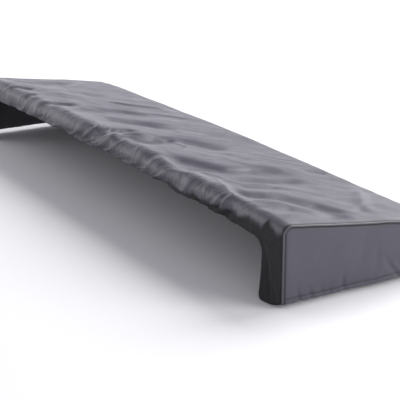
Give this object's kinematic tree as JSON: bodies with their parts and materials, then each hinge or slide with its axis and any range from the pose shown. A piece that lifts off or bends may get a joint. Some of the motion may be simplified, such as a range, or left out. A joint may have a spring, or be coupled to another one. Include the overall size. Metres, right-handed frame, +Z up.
{
  "type": "keyboard dust cover",
  "caption": "Fitted cloth dust cover for a full-size keyboard: hollow, open below and at the rear, with corded end seams and a gathered rear edge.",
  "frame": {"origin": "under the middle of the top, where the top of the instrument bears on the cloth", "axes": "+X along the length, +Y towards the open rear, +Z up; the front drop faces -Y"},
  "size_m": [1.3204, 0.342, 0.1565],
  "materials": {
    "cloth": "dark grey coated nylon with a soft sheen",
    "piping": "dark grey corded welt, a little lighter than the cloth",
    "thread": "dark grey polyester thread"
  },
  "bodies": {
    "root": {"main_panel": "cloth", "end_panel_left": "cloth", "end_panel_right": "cloth", "piping_left": "piping", "piping_right": "piping"}
  },
  "joints": []
}
